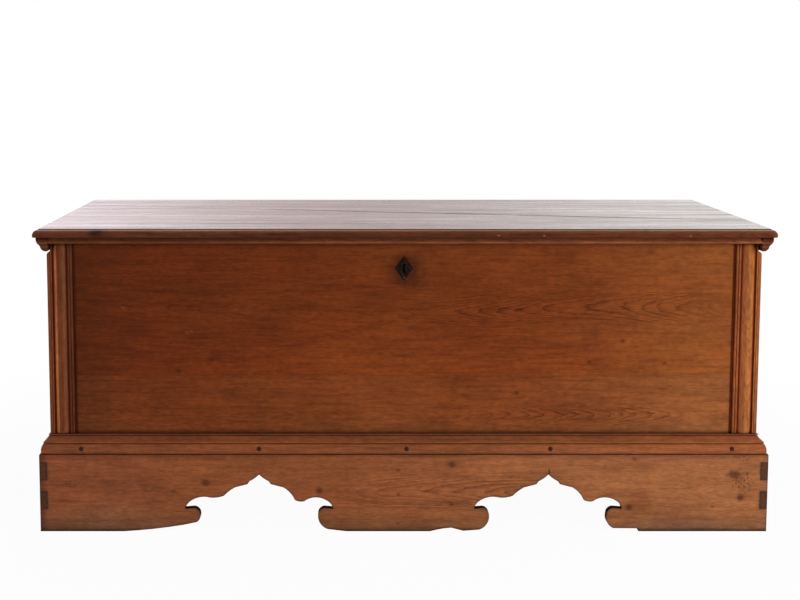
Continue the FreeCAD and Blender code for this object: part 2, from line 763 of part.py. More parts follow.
def make_escutcheon():
    """A diamond of sheet iron with the keyhole in it."""
    body = new_body("escutcheon", y=CASE_FRONT, z="keyhole_height")
    half_width = size("escutcheon_width") / 2
    half_height = size("escutcheon_height") / 2
    sketch = new_sketch(body, "XZ_Plane")
    outline(sketch, (0, -half_height), (half_width, 0), (0, half_height), (-half_width, 0))
    pad(body, sketch, "escutcheon_thickness")
    sketch = new_sketch(body, "XZ_Plane")
    keyhole_outline(sketch, 0, 0)
    pocket(body, sketch, "3 * escutcheon_thickness", both_ways=True)
    holes = [(0, z - size("keyhole_height")) for x, y, z in escutcheon_nail_places()]
    drill(body, "XZ_Plane", "0", holes, NAIL_SIDES, size("small_nail_radius"), "3 * escutcheon_thickness",
          both_ways=True)


def escutcheon_nail_places():
    y = case_front - size("escutcheon_thickness")
    reach = size("escutcheon_height") / 2 - size("escutcheon_nail_inset")
    return [(0, y, size("keyhole_height") + up) for up in (-reach, reach)]


lock_top = lid_underside - size("lock_top_gap")
lock_face = case_front + size("board_thickness")
plate_face = lock_face + size("lock_plate_thickness")
bolt_middle_z = lock_top - size("bolt_drop")
bolt_middle_y = plate_face + size("bolt_setback")
staple_start = size("bolt_tip") + size("staple_gap")
staple_middle = staple_start + size("staple_thickness") / 2
LOCK_TOP = LID_UNDERSIDE + " - lock_top_gap"
LOCK_FACE = CASE_FRONT + " + board_thickness"
PLATE_FACE = LOCK_FACE + " + lock_plate_thickness"


def lock_nail_places():
    inset = size("lock_nail_inset")
    reach = size("lock_plate_width") / 2 - inset
    heights = (lock_top - inset, lock_top - size("lock_plate_height") + inset)
    return [(x, plate_face, z) for x in (-reach, reach) for z in heights]


def rectangle_steps(low_x, low_y, high_x, high_y):
    """The corners of an upright rectangle."""
    return (low_x, low_y), (high_x, low_y), (high_x, high_y), (low_x, high_y)


def make_lock():
    """A box lock on the inside of the front board: plate, cover, bolt, spring and key pin."""
    make_lock_plate()
    make_lock_cover()
    make_lock_bolt()

    pin = new_body("lock_pin", y=PLATE_FACE + " + lock_cover_depth - lock_wall", z="keyhole_height")
    sketch = new_sketch(pin, "XZ_Plane")
    circle(sketch, (0, 0), "nail_radius")
    pad(pin, sketch, "lock_cover_depth - lock_wall")

    make_lock_spring()


def make_lock_plate():
    half = size("lock_plate_width") / 2
    plate = new_body("lock_plate", y=PLATE_FACE, z=LOCK_TOP)
    sketch = new_sketch(plate, "XZ_Plane")
    outline(sketch, *rectangle_steps(-half, -size("lock_plate_height"), half, 0))
    pad(plate, sketch, "lock_plate_thickness")
    cut_keyhole(plate, 0, size("keyhole_height") - lock_top)
    holes = [(x, z - lock_top) for x, y, z in lock_nail_places()]
    drill(plate, "XZ_Plane", "0", holes, NAIL_SIDES, size("nail_radius"), "3 * lock_plate_thickness", both_ways=True)
    for x in BOLT_GUIDES:
        add_bolt_guide(plate, x)


def add_bolt_guide(plate, x):
    """A small bridge on the lock plate with a window in which the bolt slides."""
    y = bolt_middle_y - plate_face
    z = bolt_middle_z - lock_top
    wall = size("guide_wall")
    half_height = size("bolt_height") / 2 + size("bolt_play")
    half_depth = size("bolt_depth") / 2 + size("bolt_play")
    sketch = new_sketch(plate, "YZ_Plane", str(x))
    outline(sketch, *rectangle_steps(0, z - half_height - wall, y + half_depth + wall, z + half_height + wall))
    pad(plate, sketch, "guide_length")
    sketch = new_sketch(plate, "YZ_Plane", str(x))
    outline(sketch, *rectangle_steps(y - half_depth, z - half_height, y + half_depth, z + half_height))
    pocket(plate, sketch, "guide_length", backwards=True)


def make_lock_cover():
    """An open box over the works, with a slot in its top for the staple."""
    half = size("lock_cover_width") / 2
    low = -size("lock_cover_height")
    wall = size("lock_wall")
    cover = new_body("lock_cover", y=PLATE_FACE, z=LOCK_TOP)
    sketch = new_sketch(cover, "XZ_Plane")
    outline(sketch, *rectangle_steps(-half, low, half, 0))
    pad(cover, sketch, "lock_cover_depth", backwards=True)
    sketch = new_sketch(cover, "XZ_Plane")
    outline(sketch, *rectangle_steps(-half + wall, low + wall, half - wall, -wall))
    pocket(cover, sketch, "lock_cover_depth - lock_wall")
    sketch = new_sketch(cover, "XY_Plane")
    slot_x = size("staple_thickness") / 2 + 2
    slot_y = size("staple_width") / 2 + 2
    middle_y = bolt_middle_y - plate_face
    outline(sketch, *rectangle_steps(staple_middle - slot_x, middle_y - slot_y, staple_middle + slot_x,
                                     middle_y + slot_y))
    pocket(cover, sketch, "3 * lock_wall")


def make_lock_bolt():
    """A square bar with a notch in its lower edge for the key."""
    y = bolt_middle_y - plate_face
    z = bolt_middle_z - lock_top
    half_depth = size("bolt_depth") / 2
    half_height = size("bolt_height") / 2
    spare = 1
    bolt = new_body("lock_bolt", x="bolt_tip - bolt_length", y=PLATE_FACE, z=LOCK_TOP)
    sketch = new_sketch(bolt, "YZ_Plane")
    outline(sketch, *rectangle_steps(y - half_depth, z - half_height, y + half_depth, z + half_height))
    pad(bolt, sketch, "bolt_length")
    notch = size("key_notch_start")
    sketch = new_sketch(bolt, "XZ_Plane")
    outline(sketch, *rectangle_steps(notch, z - half_height - spare, notch + size("key_notch_length"), z - spare))
    pocket(bolt, sketch, "4 * lock_cover_depth", both_ways=True)


def make_lock_spring():
    """A leaf that hangs from the side of the cover and rests on the bolt."""
    start = size("lock_wall") - size("lock_cover_width") / 2
    bend, end = start / 2, start / 8
    rest = bolt_middle_z - lock_top + size("bolt_height") / 2 + size("bolt_play")
    thick = size("spring_thickness")
    rise = size("spring_rise")
    spring = new_body("lock_spring", y=PLATE_FACE + " + spring_setback", z=LOCK_TOP)
    sketch = new_sketch(spring, "XZ_Plane")
    outline(sketch, (start, rest + rise), ((bend, rest + rise / 5), (end, rest)), (end, rest + thick),
            ((bend, rest + rise / 5 + thick), (start, rest + rise + thick)))
    pad(spring, sketch, "bolt_depth")


def staple_nail_places():
    reach = size("staple_plate_length") / 2 - size("staple_nail_inset")
    z = lid_underside - size("staple_plate_thickness")
    return [(staple_middle + shift, bolt_middle_y, z) for shift in (-reach, reach)]


def make_staple():
    """A plate under the lid with a loop that drops into the lock and takes the bolt."""
    body = new_body("lock_staple", z=LID_UNDERSIDE)
    half_length = size("staple_plate_length") / 2
    half = size("staple_width") / 2
    window = size("bolt_height") / 2 + size("staple_window_play")
    opening = half - size("staple_rim")
    tip = size("staple_tip")
    bolt_z = bolt_middle_z - lid_underside
    low = bolt_z - window - tip
    root = -size("staple_plate_thickness") / 2
    sketch = new_sketch(body, "XY_Plane")
    outline(sketch, *rectangle_steps(staple_middle - half_length, bolt_middle_y - half,
                                     staple_middle + half_length, bolt_middle_y + half))
    pad(body, sketch, "staple_plate_thickness", backwards=True)
    sketch = new_sketch(body, "YZ_Plane", str(staple_start))
    outline(sketch, (bolt_middle_y - half, root), (bolt_middle_y - half, low + tip), (bolt_middle_y - half + tip, low),
            (bolt_middle_y + half - tip, low), (bolt_middle_y + half, low + tip), (bolt_middle_y + half, root))
    pad(body, sketch, "staple_thickness")
    sketch = new_sketch(body, "YZ_Plane", str(staple_start))
    outline(sketch, *rectangle_steps(bolt_middle_y - opening, bolt_z - window, bolt_middle_y + opening,
                                     bolt_z + window))
    pocket(body, sketch, "staple_thickness", backwards=True)
    holes = [(x, y) for x, y, z in staple_nail_places()]
    drill(body, "XY_Plane", "0", holes, NAIL_SIDES, size("nail_radius"), "3 * staple_plate_thickness", both_ways=True)


# ---------------------------------------------------------------- hinges

def strap_nail_places():
    z = hinge_z + size("hinge_drop") - size("strap_thickness")
    last = size("strap_length") - size("strap_tip_radius")
    return [(side * size("hinge_centre"), hinge_y - along, z) for side_name, side in SIDES
            for along in (*STRAP_NAILS, last)]


def leaf_nail_places():
    y = case_back + size("strap_thickness")
    return [(side * size("hinge_centre"), y, hinge_z - down) for side_name, side in SIDES
            for down in LEAF_NAILS]


def knuckle(body, start, length, radius, bore):
    """A ring about the hinge axis, from start along X."""
    sketch = new_sketch(body, "YZ_Plane", start)
    circle(sketch, (0, 0), radius)
    pad(body, sketch, length)
    sketch = new_sketch(body, "YZ_Plane", start)
    circle(sketch, (0, 0), bore)
    pocket(body, sketch, length, backwards=True)


def make_hinge(side_name, side):
    """A strap under the lid and a leaf behind the case, joined by a pin."""
    x = "hinge_centre" if side > 0 else "-hinge_centre"
    half = size("hinge_width") / 2
    knuckle_half = size("lid_knuckle_length") / 2
    clear = size("knuckle_radius") + size("knuckle_clearance")
    tip = size("strap_tip_radius")
    neck = tip * 0.7
    tip_y = -size("strap_length") + tip
    neck_y = tip_y + math.sqrt(tip ** 2 - neck ** 2)

    strap = new_body("hinge_strap_" + side_name, x, HINGE_Y, HINGE_Z)
    sketch = new_sketch(strap, "XY_Plane", "hinge_drop - strap_thickness")
    outline(sketch, (-knuckle_half, 0), (-knuckle_half, -clear), (-half, -clear), (-neck, neck_y),
            ((0, tip_y - tip), (neck, neck_y)), (half, -clear), (knuckle_half, -clear), (knuckle_half, 0))
    pad(strap, sketch, "strap_thickness")
    knuckle(strap, "-lid_knuckle_length / 2", "lid_knuckle_length", "knuckle_radius", "pin_radius + knuckle_play")
    holes = [(0, y - hinge_y) for x_nail, y, z in strap_nail_places() if x_nail * side > 0]
    drill(strap, "XY_Plane", "0", holes, NAIL_SIDES, size("nail_radius"), "4 * hinge_drop", both_ways=True)

    leaf = new_body("hinge_leaf_" + side_name, x, HINGE_Y, HINGE_Z)
    low = -size("leaf_height")
    gap = knuckle_half + size("knuckle_gap")
    sketch = new_sketch(leaf, "XZ_Plane", "hinge_back_gap - strap_thickness")
    outline(sketch, (-half, 0), (-gap, 0), (-gap, -clear), (gap, -clear), (gap, 0), (half, 0),
            (half, low + half), ((0, low), (-half, low + half)))
    pad(leaf, sketch, "strap_thickness")
    length = "hinge_width / 2 - lid_knuckle_length / 2 - knuckle_gap"
    for start in ("-hinge_width / 2", "lid_knuckle_length / 2 + knuckle_gap"):
        knuckle(leaf, start, length, "knuckle_radius", "pin_radius")
    holes = [(0, z - hinge_z) for x_nail, y, z in leaf_nail_places() if x_nail * side > 0]
    drill(leaf, "XZ_Plane", "0", holes, NAIL_SIDES, size("nail_radius"), "4 * hinge_back_gap", both_ways=True)

    pin = new_body("hinge_pin_" + side_name, x, HINGE_Y, HINGE_Z)
    sketch = new_sketch(pin, "YZ_Plane")
    circle(sketch, (0, 0), "pin_radius")
    pad(pin, sketch, "hinge_width + 3", both_ways=True)


# ---------------------------------------------------------------- pegs and nails

def make_fasteners():
    into_front = FreeCAD.Vector(0, 1, 0)
    into_back = FreeCAD.Vector(0, -1, 0)
    into_lid = FreeCAD.Vector(0, 0, 1)
    nail = size("nail_radius")
    head = size("nail_head_radius")
    rise = size("nail_head_height")
    deep = size("nail_length")
    fasteners("moulding_pegs", moulding_peg_places(), into_front, PEG_SIDES, size("peg_radius"), size("peg_length"))
    fasteners("plinth_pegs", plinth_peg_places(), into_front, PEG_SIDES, size("small_peg_radius"),
              size("small_peg_length"))
    fasteners("escutcheon_nails", escutcheon_nail_places(), into_front, NAIL_SIDES, size("small_nail_radius"), deep,
              size("small_nail_head_radius"), rise / 2)
    fasteners("lock_nails", lock_nail_places(), into_back, NAIL_SIDES, nail, deep, head, rise)
    fasteners("staple_nails", staple_nail_places(), into_lid, NAIL_SIDES, nail, deep, head, rise / 2)
    fasteners("hinge_strap_nails", strap_nail_places(), into_lid, NAIL_SIDES, nail, deep, head, rise)
    fasteners("hinge_leaf_nails", leaf_nail_places(), into_back, NAIL_SIDES, nail, deep, head, rise)


# ---------------------------------------------------------------- the whole chest

make_lid()
for side_name, side in SIDES:
    make_cleat("lid_cleat_" + side_name, side)
    make_hinge(side_name, side)
make_lip()
make_staple()
make_case_boards()
make_bottom()
make_corner_strips()
make_base_moulding()
make_plinth()
make_underframe()
make_escutcheon()
make_lock()
make_fasteners()
document.recompute()

os.makedirs("parts", exist_ok=True)
for thing in document.Objects:
    if "Invalid" in thing.State or "Error" in thing.State:
        raise RuntimeError(thing.Label + " failed: " + str(thing.State))
nodes = [thing for thing in document.Objects if thing.TypeId in ("PartDesign::Body", "Part::Feature")]
nodes = [thing for thing in nodes if thing.TypeId == "PartDesign::Body" or thing.getParentGroup() is None]
for node in nodes:
    if node.Shape.isNull() or not node.Shape.isValid():
        raise RuntimeError(node.Label + " has no valid shape")
for node in nodes:
    node.Shape.exportStep("parts/" + node.Label + ".step")
    print(f"{node.Label:28s} {node.Shape.Volume / 1000:10.1f} cm3")
print(len(nodes), "nodes")
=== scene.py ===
"""The finish, light and camera of an old pine blanket chest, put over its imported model.

Every board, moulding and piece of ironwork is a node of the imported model. This script gives each its own
procedural material, lights it like a studio and sets the camera. Lengths are in metres. Stains and the
colours of materials are display values from 0 to 255, and tones are factors that multiply a colour.
"""

import math

import bpy
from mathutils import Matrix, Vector

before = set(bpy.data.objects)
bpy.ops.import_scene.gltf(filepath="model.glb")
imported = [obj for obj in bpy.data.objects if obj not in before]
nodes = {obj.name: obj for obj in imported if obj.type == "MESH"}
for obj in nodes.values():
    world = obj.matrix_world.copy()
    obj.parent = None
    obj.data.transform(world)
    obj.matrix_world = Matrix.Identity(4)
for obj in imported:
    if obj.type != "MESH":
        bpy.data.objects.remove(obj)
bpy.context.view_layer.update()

# ---------------------------------------------------------------- named values

# where the chest's own faces are
FRONT_FACE = -0.284  # Y of the front boards
PLINTH_FACE = -0.312  # Y of the plinth
LID_TOP = 0.665  # Z
LID_JOINT = dict(start=0.018, slope=-0.21357, half_width=0.003)  # Y at the middle, Y over X, and reach

SAME = (1.0, 1.0, 1.0)  # a tone or a stretch that changes nothing
WHITE = (1, 1, 1, 1)
AXES = {"x": (1, 0, 0), "y": (0, 1, 0), "z": (0, 0, 1)}

# sockets of the mix nodes, whose names repeat
MIX_FACTOR, MIX_BELOW, MIX_ABOVE, MIX_RESULT = 0, 6, 7, 2
SHADER_SHARE, SHADER_BELOW, SHADER_ABOVE = 0, 1, 2

# the wood's noises: waves to the metre along the grain and across it, detail and roughness
FIBRES = (70.0, 430.0, 2.0, 0.6)
FLECKS = (60.0, 85.0, 2.0, 0.6)
STREAKS = (14.0, 150.0, 3.0, 0.6)
LINES = (2.5, 80.0, 3.0, 0.6)
FADING = (2.0, 12.0, 2.0, 0.5)
RIPPLE = (11.0, 42.0, 3.0, 0.6)
TREMBLE = (60.0, 200.0, 2.0, 0.6)
DRIFT = (4.0, 7.0, 3.0, 0.5)
BLOTCH_DETAIL, BLOTCH_ROUGHNESS = 3.0, 0.6
SEED_STEPS = (7.13, 3.71, 5.37)  # how far one unit of a seed moves the noises

# the growth rings: how dark one is at each share of the way to the next, and how they wander
RING_PROFILE = ((0.0, 0.1), (0.1, 0.0), (0.5, 0.08), (0.78, 0.45), (0.93, 1.0), (1.0, 0.1))
HEART_WAVES, HEART_OFFSET = (2.6, 5.0, 5.0), (31.0, 7.0, 3.0)  # the two noises that move the tree's heart
RIPPLE_DEPTH, TREMBLE_DEPTH = 0.0055, 0.0022  # how far the noises push the rings out
UNEVEN_EVERY, UNEVEN_YEARS = 0.23, 2.6  # wide and narrow years: waves to the ring, and rings gained

# wear, and dirt with painted shade in the corners: how far they reach and how much they cover
ARRIS_RADIUS, CORNER_REACH = 0.0016, 0.016
END_GRAIN_SHARE, RUBBED_SHARE = 0.6, 0.25
OPEN_FACE = 0.995  # cosine from which a rounded surface counts as turned

# colours that all the wood shares
WARM, COOL = (1.01, 0.98, 0.96, 1), (0.99, 1.02, 1.03, 1)
END_GRAIN = (58, 30, 20)
RUBBED = (160, 100, 60)
# the colour of dirt and painted shade in corners and recesses
DIRT_AND_SHADE = (38, 11, 4)
BARE_EARLY, BARE_LATE = (182, 136, 96), (136, 90, 57)

# ---------------------------------------------------------------- shader building


class Tree:
    """Adds nodes to one node tree and gives their results: node gives the node, split its three outputs."""

    def __init__(self, tree):
        self.tree = tree

    def node(self, kind, inputs=(), **settings):
        """A node with its settings, and its inputs given by name or place as a socket or a value."""
        made = self.tree.nodes.new(kind)
        for name, value in settings.items():
            setattr(made, name, value)
        for name, value in dict(inputs).items():
            if isinstance(value, bpy.types.NodeSocket):
                self.tree.links.new(value, made.inputs[name])
            else:
                made.inputs[name].default_value = value
        return made

    # numbers

    def math(self, operation, *values, clamp=False):
        made = self.node("ShaderNodeMath", enumerate(values), operation=operation, use_clamp=clamp)
        return made.outputs[0]

    def add(self, one, other, clamp=False):
        return self.math("ADD", one, other, clamp=clamp)

    def subtract(self, one, other):
        return self.math("SUBTRACT", one, other)

    def multiply(self, one, other):
        return self.math("MULTIPLY", one, other)

    def swing(self, value, middle, amount):
        """How far a value lies from its middle, times an amount."""
        return self.multiply(self.subtract(value, middle), amount)

    def step(self, value, start, end, low=0.0, high=1.0):
        """A smooth step from low to high while value goes from start to end."""
        inputs = {"Value": value, "From Min": start, "From Max": end, "To Min": low, "To Max": high}
        return self.node("ShaderNodeMapRange", inputs, interpolation_type="SMOOTHSTEP").outputs[0]

    def curve(self, value, stops):
        """A ramp of grey levels: stops are (place, level)."""
        ramp = self.node("ShaderNodeValToRGB", {"Fac": value})
        points = ramp.color_ramp.elements
        while len(points) < len(stops):
            points.new(0.5)
        for point, (place, level) in zip(points, stops):
            point.position = place
            point.color = (level, level, level, 1)
        return ramp.outputs[0]

    # places and directions

    def place(self):
        """The point's coordinates in the chest's frame."""
        return self.node("ShaderNodeTexCoord").outputs["Object"]

    def facing(self):
        """The way the surface looks."""
        return self.node("ShaderNodeTexCoord").outputs["Normal"]

    def vector(self, operation, *values):
        made = self.node("ShaderNodeVectorMath", enumerate(values), operation=operation)
        return made.outputs["Value" if operation in ("DOT_PRODUCT", "LENGTH") else "Vector"]

    def split(self, vector):
        return self.node("ShaderNodeSeparateXYZ", {"Vector": vector}).outputs

    def join(self, x, y, z):
        return self.node("ShaderNodeCombineXYZ", {"X": x, "Y": y, "Z": z}).outputs[0]

    def away(self, place, centre, stretch):
        """How far a place is from a centre, with the three directions stretched."""
        offset = self.vector("MULTIPLY", self.vector("SUBTRACT", place, centre), stretch)
        return self.vector("LENGTH", offset)

    # noises

    def noise(self, vector, scale, detail, roughness):
        inputs = {"Vector": vector, "Scale": scale, "Detail": detail, "Roughness": roughness}
        return self.node("ShaderNodeTexNoise", inputs).outputs[0]

    def streaky(self, place, along, across, detail, roughness):
        """A noise with its waves to the metre given along the first direction and across it."""
        return self.noise(self.vector("MULTIPLY", place, (along, across, across)), 1.0, detail, roughness)

    # edges

    def bevelled(self, radius, samples):
        """The way the surface would look with its edges rounded."""
        return self.node("ShaderNodeBevel", {"Radius": radius}, samples=samples).outputs[0]

    def near_edge(self, rounded, sure):
        """One where the rounded surface turns from the flat one as far as sure, nothing on open faces."""
        flat = self.node("ShaderNodeNewGeometry").outputs["Normal"]
        return self.step(self.vector("DOT_PRODUCT", rounded, flat), OPEN_FACE, sure)

    def bumped(self, height, rounded, strength, distance):
        inputs = {"Strength": strength, "Distance": distance, "Height": height, "Normal": rounded}
        return self.node("ShaderNodeBump", inputs).outputs[0]

    # colours

    def blend(self, factor, below, above, mode="MIX"):
        """Two colours mixed by a factor."""
        inputs = {MIX_FACTOR: factor, MIX_BELOW: below, MIX_ABOVE: above}
        return self.node("ShaderNodeMix", inputs, data_type="RGBA", blend_type=mode).outputs[MIX_RESULT]

    def tint(self, skin, factors):
        """A colour multiplied by another."""
        return self.blend(1.0, skin, factors, "MULTIPLY")

    def tone(self, skin, share, tone):
        """A colour multiplied by a tone as far as share says."""
        return self.tint(skin, self.blend(share, WHITE, (*tone, 1)))

    def stain(self, skin, share, stain):
        """A colour covered by a stain as far as share says."""
        return self.blend(share, skin, colour(*stain))


def colour(red, green, blue):
    """A colour from its 0 to 255 display values."""
    def linear(level):
        level = level / 255
        return level / 12.92 if level <= 0.04045 else ((level + 0.055) / 1.055) ** 2.4
    return (linear(red), linear(green), linear(blue), 1)


def new_material(name):
    material = bpy.data.materials.new(name)
    material.use_nodes = True
    tree = material.node_tree
    tree.nodes.clear()
    return material, Tree(tree)


# ---------------------------------------------------------------- wood


class Grain:
    """What the parts of one wood's shader share: places along its grain, the way it faces and its noises."""

    def __init__(self, t, axis, seed, patch):
        self.place = t.place()
        self.facing = t.facing()
        x, y, z = t.split(self.place)
        self.turned = t.join(*{"x": (x, y, z), "y": (y, x, z), "z": (z, y, x)}[axis])  # the grain along X
        self.seeded = t.vector("ADD", self.turned, tuple(seed * step for step in SEED_STEPS))
        self.fibres = t.streaky(self.seeded, *FIBRES)
        self.streaks = t.streaky(self.seeded, *STREAKS)
        self.lines = t.streaky(self.seeded, *LINES)
        self.blotches = t.streaky(self.seeded, *patch, BLOTCH_DETAIL, BLOTCH_ROUGHNESS)
        self.fading = t.streaky(self.seeded, *FADING)
        self.flecks = t.streaky(self.seeded, *FLECKS)


def growth_rings(t, grain, pith, ring, taper, waver):
    """How far latewood shows at each point: rings round a wandering, tapering pith."""
    slow = t.vector("MULTIPLY", grain.seeded, HEART_WAVES)
    inward = t.noise(slow, 1.0, detail=2.0, roughness=0.45)
    upward = t.noise(t.vector("ADD", slow, HEART_OFFSET), 1.0, detail=1.0, roughness=0.4)
    along, depth, height = t.split(grain.turned)
    depth = t.add(t.subtract(depth, pith[0]), t.swing(inward, 0.5, waver))
    height = t.add(t.subtract(height, pith[1]), t.swing(upward, 0.5, waver))
    radius = t.math("SQRT", t.add(t.multiply(depth, depth), t.multiply(height, height)))
    radius = t.add(radius, t.multiply(along, taper))
    radius = t.add(radius, t.multiply(t.streaky(grain.seeded, *RIPPLE), RIPPLE_DEPTH))
    radius = t.add(radius, t.multiply(t.streaky(grain.seeded, *TREMBLE), TREMBLE_DEPTH))
    count = t.math("DIVIDE", radius, ring)
    uneven = t.noise(t.join(t.multiply(count, UNEVEN_EVERY), 0.0, 0.0), 1.0, detail=1.0, roughness=0.5)
    count = t.add(count, t.multiply(uneven, UNEVEN_YEARS))
    return t.curve(t.math("FRACT", count), RING_PROFILE)


def in_band(t, grain, height, half_width, start, end):
    """How far the figure shows: fully along a band of the board, faintly elsewhere."""
    faint, fade = 0.25, 0.15
    along, _, up = t.split(grain.turned)
    off = t.math("ABSOLUTE", t.subtract(up, height))
    inside = t.multiply(t.step(off, half_width * 1.7, half_width * 0.7), t.step(along, start, start + fade))
    inside = t.multiply(inside, t.step(along, end, end - fade))
    return t.add(t.multiply(inside, 1.0 - faint), faint)


def near_line(t, place, start, slope, half_width, spread=1.0):
    """One on a line across the top, nothing beyond its half width, and weaker towards both its ends."""
    x, y, _ = t.split(place)
    off = t.math("ABSOLUTE", t.subtract(t.subtract(y, start), t.multiply(x, slope)))
    open_left = t.step(x, -0.42, -0.12, low=0.2, high=1.0)
    open_right = t.step(x, 0.5, 0.7, low=0.75, high=0.3)
    line = t.step(off, half_width * spread, half_width * spread * 0.6)
    return t.multiply(line, t.multiply(open_left, open_right))


def latewood(t, grain, rings, height, band, figure, streak, line):
    """How much of the darker colour shows, by the rings and by streaks along the grain."""
    if band:
        strength = t.multiply(in_band(t, grain, height, *band), figure)
    else:
        strength = t.step(grain.fading, 0.3, 0.65, low=figure * 0.35, high=figure)
    share = t.multiply(rings, strength)
    share = t.add(share, t.swing(grain.streaks, 0.44, streak))
    return t.add(share, t.swing(grain.lines, 0.46, line), clamp=True)


def shading(t, grain, fibre, mottle):
    """The grey that fibres, flecks and blotches multiply the wood's colour by."""
    shade = t.add(t.swing(grain.fibres, 0.5, fibre), 1.0)
    shade = t.add(shade, t.swing(grain.flecks, 0.5, 0.48))
    blotchy = t.step(grain.blotches, 0.25, 0.75, low=1.0 - mottle, high=1.0 + mottle * 0.7)
    shade = t.multiply(shade, blotchy)
    return t.join(shade, shade, shade)


def bared(t, grain, skin, bare, looks, begins):
    """The skin with bare wood on faces that look one way, and if begins is given, only behind that Y."""
    border = 0.004
    hidden = t.step(t.vector("DOT_PRODUCT", grain.facing, looks), 0.4, 0.7)
    if begins is not None:
        hidden = t.multiply(hidden, t.step(t.split(grain.place)["Y"], begins, begins + border))
    return t.blend(hidden, skin, bare)


def finish(t, grain, dirt_and_shade, gloss, streak, line, patch):
    """How rough the finish is: gloss is its level, and the others say how much each noise changes it."""
    rough = t.add(t.swing(grain.streaks, 0.5, streak), gloss)
    for noise, amount in ((grain.lines, line), (grain.blotches, patch)):
        if amount:
            rough = t.add(rough, t.swing(noise, 0.5, amount))
    return t.add(rough, t.multiply(dirt_and_shade, 0.3), clamp=True)


def unvarnished(t, grain, surface, varnished, joint):
    """The shader of a varnished top that has lost its varnish round the edges and along its joint."""
    worn = t.node("ShaderNodeBsdfPrincipled", {**surface, "Roughness": 0.5, "Specular IOR Level": 0.15})
    edges = t.step(t.split(grain.facing)["Z"], 0.97, 0.75)
    share = t.math("MAXIMUM", edges, near_line(t, grain.place, **joint, spread=3.4))
    return t.node("ShaderNodeMixShader", {
        SHADER_SHARE: share, SHADER_BELOW: varnished.outputs[0], SHADER_ABOVE: worn.outputs[0]})


def wood(name, early, late, specular, gloss, seed, axis="x", pith=(0.0, 0.0), ring=0.0034, taper=0.03,
         waver=0.05, figure=0.6, band=None, streak=1.4, line=0.65, fibre=0.9, mottle=0.16,
         patch=(7.0, 18.0), gloss_streak=0.2, gloss_line=0.0, gloss_patch=0.0, joint=None, raw=None,
         raw_begins=None, extra=(), grime_and_shade=0.95):
    """Old pine with growth rings, fibres, mottling, worn arrises, soiling with painted shade in the corners
    and a soft finish.

    The grain runs along axis. pith is the tree's heart across the grain and up, ring a year's growth,
    taper how the rings drift along the board, waver how far the heart wanders, figure how strong the rings
    are and band where: its half width, start and end. streak, line, fibre and mottle are strengths in the
    colour, and gloss_streak, gloss_line and gloss_patch in the gloss. patch is how many blotches go to the
    metre along and across. A varnished top gives its joint. raw is the way an unfinished face looks.
    """
    material, t = new_material(name)
    grain = Grain(t, axis, seed, patch)
    rings = growth_rings(t, grain, pith, ring, taper, waver)
    share = latewood(t, grain, rings, pith[1], band, figure, streak, line)
    shade = shading(t, grain, fibre, mottle)
    skin = t.tint(t.blend(share, colour(*early), colour(*late)), shade)
    skin = t.tint(skin, t.blend(t.step(grain.fading, 0.35, 0.65), WARM, COOL))

    # end grain drinks the finish and goes dark
    ends = t.step(t.math("ABSOLUTE", t.vector("DOT_PRODUCT", grain.facing, AXES[axis])), 0.6, 0.9)
    skin = t.stain(skin, t.multiply(ends, END_GRAIN_SHARE), END_GRAIN)

    for change in extra:
        skin = change(t, grain.place, skin)
    if raw:
        bare = t.tint(t.blend(share, colour(*BARE_EARLY), colour(*BARE_LATE)), shade)
        skin = bared(t, grain, skin, bare, raw, raw_begins)

    # arrises rubbed pale; corners darkened by ambient occlusion, as dirt and painted shade
    rounded = t.bevelled(ARRIS_RADIUS, samples=4)
    rub = t.multiply(t.near_edge(rounded, 0.9), t.step(grain.streaks, 0.35, 0.65))
    skin = t.stain(skin, t.multiply(rub, RUBBED_SHARE), RUBBED)
    corner = t.node("ShaderNodeAmbientOcclusion", {"Distance": CORNER_REACH}, samples=8).outputs["AO"]
    dirt_and_shade = t.multiply(t.step(corner, 0.92, 0.42), grime_and_shade)
    skin = t.stain(skin, dirt_and_shade, DIRT_AND_SHADE)

    relief = t.add(t.multiply(rings, 0.5), t.multiply(grain.fibres, 0.6))
    relief = t.add(relief, t.multiply(grain.blotches, 1.5))
    surface = {
        "Base Color": skin,
        "Roughness": finish(t, grain, dirt_and_shade, gloss, gloss_streak, gloss_line, gloss_patch),
        "Specular IOR Level": specular,
        "Normal": t.bumped(relief, rounded, strength=0.35, distance=0.0004)}
    shader = t.node("ShaderNodeBsdfPrincipled", surface)
    if joint:
        shader = unvarnished(t, grain, surface, shader, joint)
    t.node("ShaderNodeOutputMaterial", {"Surface": shader.outputs[0]})
    return material


# ---------------------------------------------------------------- iron


def iron(name, base, seed, rust=(62, 36, 24), patch=90.0, gloss=0.5, metallic=0.7, specular=0.5, extra=()):
    """Forged iron, blackened, with a little rust and a hammered skin."""
    material, t = new_material(name)
    place = t.place()
    seeded = t.vector("ADD", place, (seed, seed * 2.0, seed * 3.0))
    patches = t.noise(seeded, patch, detail=5.0, roughness=0.6)
    hammer = t.noise(seeded, 240.0, detail=3.0, roughness=0.5)
    skin = t.blend(t.step(patches, 0.45, 0.65), colour(*base), colour(*rust))
    for change in extra:
        skin = change(t, place, skin)
    shader = t.node("ShaderNodeBsdfPrincipled", {
        "Base Color": skin,
        "Roughness": t.add(t.swing(patches, 0.5, 0.5), gloss, clamp=True),
        "Metallic": metallic,
        "Specular IOR Level": specular,
        "Normal": t.bumped(hammer, t.bevelled(0.0008, samples=4), strength=0.4, distance=0.0005)})
    t.node("ShaderNodeOutputMaterial", {"Surface": shader.outputs[0]})
    return material


# ---------------------------------------------------------------- changes of colour, for extra


def on_front(x, z):
    """A point on the face of the front boards."""
    return (x, FRONT_FACE, z)


def on_plinth(x, z):
    """A point on the face of the plinth."""
    return (x, PLINTH_FACE, z)


